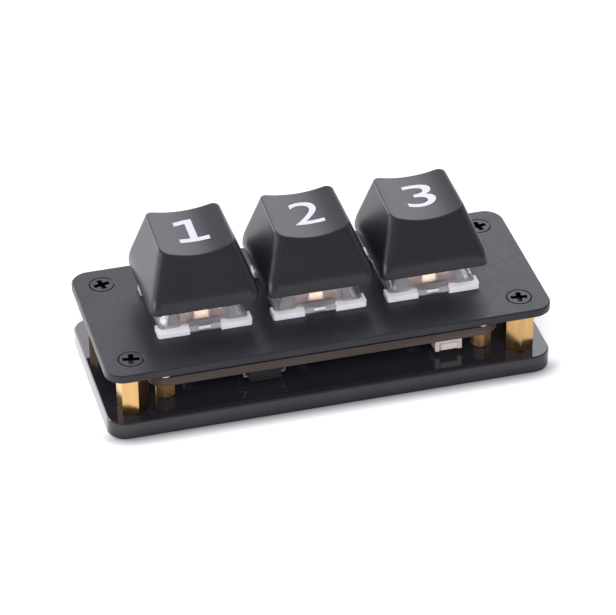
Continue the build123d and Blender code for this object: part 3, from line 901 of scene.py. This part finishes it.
@dataclass
class KeyLegend:
    """The digit moulded into the dish of one key cap."""

    DOWNWARDS: ClassVar[int] = -1

    key: int
    finish: Finish
    height: float = 6.2 * MM
    width: float = 4.9 * MM
    stroke_share: float = 0.2
    foot_share: float = 0.3
    flag_share: float = 0.36
    curve_steps: int = 8
    strips: int = 16
    lift: float = 0.02 * MM
    depth: float = 0.05 * MM
    shift_x: float = 0.3 * MM
    shift_y: float = 2.1 * MM

    def build(self, nodes: Nodes) -> bpy.types.Object:
        """Model the digit and lay it on the cap's dish.

        Args:
            nodes: The frame's CAD nodes.

        Returns:
            The digit.
        """
        node = f"keycap_{self.key}"
        low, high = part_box(node)
        middle = (low + high) / 2
        digit = self.one() if self.key == 1 else self.figure()
        digit.name = f"legend_{self.key}"
        digit.scale = (self.width / digit.dimensions.x, self.height / digit.dimensions.y, 1)
        digit.location = (middle.x + self.shift_x, middle.y + self.shift_y, high.z + self.height)
        settle(digit)
        self.cut_across(digit, middle.x + self.shift_x)
        self.lay_on(digit, nodes[node])
        digit.data.materials.append(self.finish.material())
        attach(digit, f"key_{self.key}")
        LOG.info("legend %d lies on its cap", self.key)
        return digit

    def figure(self) -> bpy.types.Object:
        """Make a flat digit from the built-in figures, centred on the origin.

        Returns:
            The digit.
        """
        deselect_all()
        bpy.ops.object.text_add()
        letter = bpy.context.object.data
        letter.body = str(self.key)
        letter.size = self.height
        letter.resolution_u = self.curve_steps
        bpy.ops.object.convert(target="MESH")
        digit = bpy.context.object
        bpy.ops.object.origin_set(type="ORIGIN_GEOMETRY", center="BOUNDS")
        return digit

    def one(self) -> bpy.types.Object:
        """Model a flat 1: a bar with a foot and a slanting flag, centred on the origin.

        Returns:
            The digit.
        """
        top = self.height / 2
        side = self.stroke_share * self.width / 2
        foot = self.stroke_share * self.width
        reach = self.foot_share * self.width
        drop = self.flag_share * reach
        deselect_all()
        bpy.ops.mesh.primitive_plane_add(size=1)
        digit = bpy.context.object
        digit.scale = (2 * side, self.height, 1)
        settle(digit)
        bpy.ops.object.mode_set(mode="EDIT")
        for level in (foot - top, top - foot):
            bpy.ops.mesh.select_all(action="SELECT")
            bpy.ops.mesh.bisect(plane_co=(0, level, 0), plane_no=(0, 1, 0))
        bpy.ops.object.mode_set(mode="OBJECT")
        near = side / 2
        pull_edges(digit, lambda at: at.x < -near and at.y < near + foot - top, (-reach, 0, 0))
        pull_edges(digit, lambda at: abs(at.x - side) < near and at.y < near + foot - top, (reach, 0, 0))
        pull_edges(digit, lambda at: at.x < -near and at.y > top - foot - near, (-reach, -drop, 0))
        face_outwards(digit)
        if digit.data.polygons[0].normal.z < 0:
            digit.data.flip_normals()
        bpy.ops.object.origin_set(type="ORIGIN_GEOMETRY", center="BOUNDS")
        return digit

    def cut_across(self, digit: bpy.types.Object, middle: float) -> None:
        """Cut the flat digit into strips that can follow the dish.

        Args:
            digit: The digit's mesh.
            middle: The digit's middle along X.
        """
        bpy.ops.object.mode_set(mode="EDIT")
        for step in range(1, self.strips):
            x = middle + self.width * (step / self.strips - 1 / 2)
            bpy.ops.mesh.select_all(action="SELECT")
            bpy.ops.mesh.bisect(plane_co=(x, 0, 0), plane_no=(1, 0, 0))
        bpy.ops.object.mode_set(mode="OBJECT")

    def lay_on(self, digit: bpy.types.Object, cap: bpy.types.Object) -> None:
        """Drop the flat digit onto a cap's dish, and thicken it down into the cap.

        Args:
            digit: The digit's mesh, above the cap.
            cap: The cap.
        """
        lay = digit.modifiers.new("lay", "SHRINKWRAP")
        lay.wrap_method = "PROJECT"
        lay.use_project_z = True
        lay.use_negative_direction = True
        lay.use_positive_direction = False
        lay.target = cap
        lay.offset = self.lift
        wall = digit.modifiers.new("wall", "SOLIDIFY")
        wall.thickness = self.depth
        wall.offset = self.DOWNWARDS
        apply_modifiers(digit)


@dataclass
class KeyRow:
    """The three keys: their caps, their switches and their legends."""

    numbers: tuple[int, ...] = (1, 2, 3)
    tongue_half_width: float = 1.4 * MM
    copper_color: Color = (0.95, 0.64, 0.46)
    copper_roughness: float = 0.14
    cap: MouldedPlastic = MouldedPlastic(
        "cap_plastic",
        color=(0.0148, 0.0142, 0.0175),
        roughness=0.33,
        grain_size=0.16 * MM,
        grain_depth=0.004 * MM,
        gloss_level=0.38,
    )
    stem: MouldedPlastic = MouldedPlastic("brown_stem_plastic", color=(0.16, 0.075, 0.035), roughness=0.38)
    white: MouldedPlastic = MouldedPlastic(
        "white_housing_plastic",
        color=(0.88, 0.88, 0.89),
        roughness=0.34,
        glow_share=0.1,
        edge_radius=0.15 * MM,
    )
    clear: ClearPlastic = ClearPlastic("clear_housing_plastic", color=(0.68, 0.67, 0.68), roughness=0.06)
    copper: DrawnMetal = DrawnMetal("contact_copper", color=(0.9, 0.56, 0.38), roughness=0.34)
    wire: DrawnMetal = DrawnMetal("spring_wire_steel", color=(0.7, 0.7, 0.72), roughness=0.2)
    legend: Finish = Finish(
        "white_legend_plastic",
        color=(0.74, 0.74, 0.76),
        roughness=0.45,
        patch_size=0.15 * MM,
        patch_share=0.03,
    )

    def leaf_copper(self) -> SprungCopper:
        """Give the finish of the contact leaves, whose tongues are one key pitch apart.

        Returns:
            The finish.
        """
        middles = []
        for number in self.numbers:
            low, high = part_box(f"switch_contact_leaf_{number}")
            middles.append((low.x + high.x) / 2)
        return SprungCopper(
            "leaf_copper",
            color=self.copper_color,
            roughness=self.copper_roughness,
            tongue_middle=middles[0],
            tongue_pitch=middles[1] - middles[0],
            tongue_half_width=self.tongue_half_width,
        )

    def build(self, nodes: Nodes) -> None:
        """Model the keys' new pieces and dress their CAD nodes.

        Args:
            nodes: The frame's CAD nodes.
        """
        leaf = self.leaf_copper()
        for number in self.numbers:
            dress(nodes, self.cap, f"keycap_{number}")
            dress(nodes, self.stem, f"switch_stem_{number}")
            dress(nodes, self.white, f"switch_lower_housing_{number}")
            dress(nodes, self.clear, f"switch_upper_housing_{number}")
            dress(nodes, leaf, f"switch_contact_leaf_{number}")
            dress(nodes, self.copper, f"switch_fixed_contact_{number}")
            dress(nodes, self.wire, f"switch_spring_{number}")
            ReturnSpring(number, self.wire).build()
            KeyLegend(number, self.legend).build(nodes)


@dataclass(frozen=True)
class Softbox:
    """A soft lamp that is aimed at the keypad, for its shading, its reflections or both."""

    name: str
    place: Triple
    size: float
    power: float
    stretch: float = 1.0
    shades: bool = True
    mirrored: bool = True
    color: Color = (0.935, 0.925, 1.0)

    def build(self, aim: Vector) -> None:
        """Add the lamp.

        Args:
            aim: The point that the lamp faces.
        """
        lamp = bpy.data.lights.new(self.name, "AREA")
        lamp.color = self.color
        lamp.shape = "RECTANGLE"
        lamp.size = self.size * self.stretch
        lamp.size_y = self.size
        lamp.energy = self.power
        holder = bpy.data.objects.new(self.name, lamp)
        bpy.context.scene.collection.objects.link(holder)
        holder.visible_diffuse = self.shades
        holder.visible_glossy = self.mirrored
        holder.location = self.place
        holder.rotation_mode = "QUATERNION"
        holder.rotation_quaternion = (aim - Vector(self.place)).to_track_quat("-Z", "Y")


@dataclass
class Studio:
    """The floor, the lamps, the white surround and the camera."""

    azimuth: float = math.radians(-14.58)
    elevation: float = math.radians(34.13)
    distance: float = 550.35 * MM
    roll: float = -0.0127
    target: Triple = (-1.506 * MM, -4.677 * MM, 12.25 * MM)
    focal_pixels: float = 3401.8
    image_width: float = 616.0
    sensor_width: float = 36.0
    floor_radius: float = 3.0
    floor_points: int = 96
    paper: Color = (0.8, 0.8, 0.8)
    paper_shade_share: float = 0.975
    paper_size: float = 40.0 * MM
    paper_detail: float = 3.0
    paper_roughness: float = 0.7
    seen_glow: float = 0.45
    near_glow: float = 0.42
    far_glow: float = 1.0
    glow_way: Triple = (-0.6, 0.8, 0.0)
    glow_start: float = -10.0 * MM
    glow_end: float = 30.0 * MM
    far_start: float = 150.0 * MM
    far_end: float = 400.0 * MM
    contact_reach: float = 3.0 * MM
    contact_power: float = 2.2
    contact_samples: int = 16
    contact_start: float = -12.0 * MM
    contact_end: float = -15.0 * MM
    cool_white: Color = (0.92, 0.91, 1.0)
    ambient: float = 0.41
    dark_front: float = 0.3
    front_start: float = -0.55
    front_end: float = 0.1
    lamps: tuple[Softbox, ...] = (
        Softbox("back_softbox", place=(0.36, 0.64, 0.6), size=0.66, power=3.9, shades=False),
        Softbox("front_softbox", place=(-0.1, -0.7, 0.66), size=0.6, power=8.0, mirrored=False),
        Softbox("left_softbox", place=(-0.6, 0.6, 0.25), size=0.5, power=7.0, stretch=2.0),
        Softbox("edge_softbox", place=(-0.85, -0.3, 0.22), size=0.5, power=5.2, shades=False),
        Softbox("glint_softbox", place=(0.207, -0.971, 0.166), size=0.2, power=0.42, shades=False),
    )

    def build(self) -> None:
        """Set up the whole studio."""
        self.build_camera()
        self.build_floor()
        self.build_surround()
        for lamp in self.lamps:
            lamp.build(Vector(self.target))
        bpy.context.scene.view_settings.view_transform = "Standard"

    def build_camera(self) -> None:
        """Add the camera at the photograph's viewing angle."""
        level = math.cos(self.elevation)
        away = Vector(
            (math.sin(self.azimuth) * level, -math.cos(self.azimuth) * level, math.sin(self.elevation))
        )
        right = (-away).cross(Vector((0, 0, 1))).normalized()
        up = right.cross(-away)
        right_turned = math.cos(self.roll) * right + math.sin(self.roll) * up
        up_turned = math.cos(self.roll) * up - math.sin(self.roll) * right
        turn = Matrix((right_turned, up_turned, away)).transposed()
        data = bpy.data.cameras.new("camera")
        data.sensor_width = self.sensor_width
        data.lens = self.focal_pixels / self.image_width * self.sensor_width
        camera = bpy.data.objects.new("camera", data)
        bpy.context.scene.collection.objects.link(camera)
        camera.matrix_world = Matrix.Translation(Vector(self.target) + self.distance * away) @ turn.to_4x4()
        bpy.context.scene.camera = camera

    def build_floor(self) -> None:
        """Add the white floor, which keeps the keypad's shadow, darkened further by a painted contact
        shadow along the front edge, and is plain white far from it.
        """
        deselect_all()
        bpy.ops.mesh.primitive_circle_add(
            vertices=self.floor_points, radius=self.floor_radius, fill_type="NGON"
        )
        floor = bpy.context.object
        floor.name = "floor"
        graph = SurfaceGraph("white_floor")
        outside_painted_shadow = self.contact_light(graph)
        seen, mirrored = graph.mirrored_rays()
        away = graph.add("ShaderNodeVectorMath", operation="LENGTH")
        graph.feed(away.inputs[0], graph.place)
        far = graph.ramp(away.outputs["Value"], self.far_start, self.far_end, 0.0, 1.0)
        # painted shadow: the floor's colour and glow are darkened where the contact shadow is painted
        near_color = graph.mix_colors(outside_painted_shadow, BLACK, self.paper_color(graph))
        graph.surface("Base Color", graph.mix_colors(graph.math("MULTIPLY", seen, far), near_color, BLACK))
        graph.surface("Roughness", self.paper_roughness)
        graph.surface("Specular IOR Level", 0.0)
        shown = graph.mix_numbers(far, self.seen_glow, 1.0)
        unseen = graph.math("MULTIPLY", mirrored, self.mirrored_glow(graph))
        level = graph.mix_numbers(seen, unseen, shown)
        graph.add_glow(graph.math("MULTIPLY", level, outside_painted_shadow))
        floor.data.materials.append(graph.material)

    def paper_color(self, graph: SurfaceGraph) -> Socket:
        """Give the floor paper's colour, which varies a little."""
        fibre = graph.spread(graph.noise(self.paper_size, self.paper_detail))
        return graph.mix_colors(fibre, shade(self.paper, self.paper_shade_share), self.paper)

    def mirrored_glow(self, graph: SurfaceGraph) -> Socket:
        """Make the floor lighter to one side in the keypad's reflections.

        Args:
            graph: The floor's material.

        Returns:
            The strength of the floor's glow.
        """
        along = graph.add("ShaderNodeVectorMath", operation="DOT_PRODUCT")
        graph.feed_all(along.inputs, (graph.place, self.glow_way))
        way = along.outputs["Value"]
        return graph.ramp(way, self.glow_start, self.glow_end, self.near_glow, self.far_glow)

    def contact_light(self, graph: SurfaceGraph) -> Socket:
        """Paint a contact shadow, from ambient occlusion, on the floor close to the keypad's front edge.

        Args:
            graph: The floor's material.

        Returns:
            The share of the floor's colour and glow left by the painted shadow, from 0 to 1.
        """
        # painted shadow: ambient occlusion, sharpened and kept to the strip in front of the keypad
        hidden = graph.add("ShaderNodeAmbientOcclusion", samples=self.contact_samples)
        graph.feed(hidden.inputs["Distance"], self.contact_reach)
        open_share = graph.math("POWER", hidden.outputs["AO"], self.contact_power)
        in_front = graph.ramp(graph.axis("Y"), self.contact_end, self.contact_start, 1.0, 0.0)
        return graph.mix_numbers(in_front, 1.0, open_share)

    def build_surround(self) -> None:
        """Make the world white to the eye and in reflections, and darker on the front side."""
        world = bpy.data.worlds.new("surround")
        bpy.context.scene.world = world
        world.use_nodes = True
        graph = NodeGraph(world.node_tree)
        background = graph.tree.nodes["Background"]
        seen, mirrored = graph.mirrored_rays()
        split = graph.add("ShaderNodeSeparateXYZ")
        graph.feed(split.inputs[0], graph.add("ShaderNodeTexCoord").outputs["Generated"])
        fade = graph.ramp(split.outputs["Y"], self.front_start, self.front_end, self.dark_front, 1.0)
        unseen = graph.mix_numbers(mirrored, self.ambient, fade)
        graph.feed(background.inputs["Strength"], graph.mix_numbers(seen, unseen, 1.0))
        graph.feed(background.inputs["Color"], graph.mix_colors(seen, self.cool_white, WHITE))


def main() -> None:
    """Load the frame, set up the studio, and dress and build every piece."""
    logging.basicConfig(level=logging.INFO, format="%(message)s")
    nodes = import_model()["nodes"]
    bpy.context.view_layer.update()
    Studio().build()
    Structure().dress(nodes)
    Board().dress(nodes)
    KeyRow().build(nodes)


if __name__ == "__main__":
    main()
